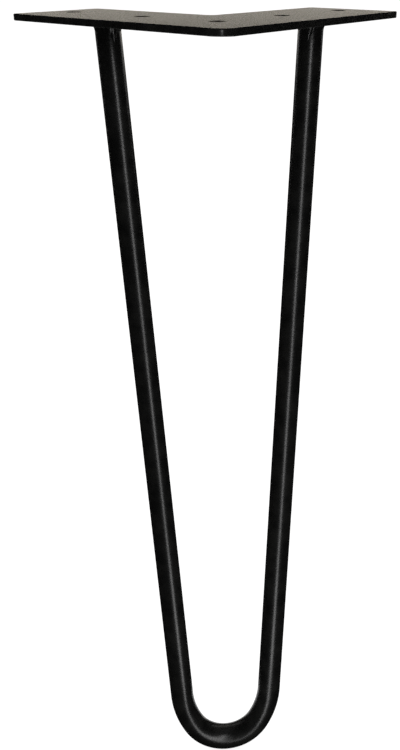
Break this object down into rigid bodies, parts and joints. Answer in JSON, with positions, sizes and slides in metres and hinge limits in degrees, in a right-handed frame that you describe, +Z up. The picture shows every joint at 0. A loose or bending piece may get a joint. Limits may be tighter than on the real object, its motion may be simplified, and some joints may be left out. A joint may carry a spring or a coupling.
{
  "type": "hairpin table leg",
  "caption": "Black hairpin table leg: a round bar bent into a narrow U, splayed outwards and welded under an L-shaped plate with plain screw holes, to carry a table or bench at its corner.",
  "frame": {"origin": "centre of the plate's corner hole, in the plate's top face, which meets the tabletop", "axes": "+Z up, out of the plate's top face into the tabletop; +X along the right arm and +Y along the left arm, as seen from outside the table's corner; the foot bend is below, towards -X and -Y"},
  "size_m": [0.1485, 0.1485, 0.4059],
  "materials": {
    "black_coat": "satin black powder coat on steel"
  },
  "bodies": {
    "root": {"mounting_plate": "black_coat", "hairpin_rod": "black_coat", "weld_bead_left": "black_coat", "weld_bead_right": "black_coat"}
  },
  "joints": []
}
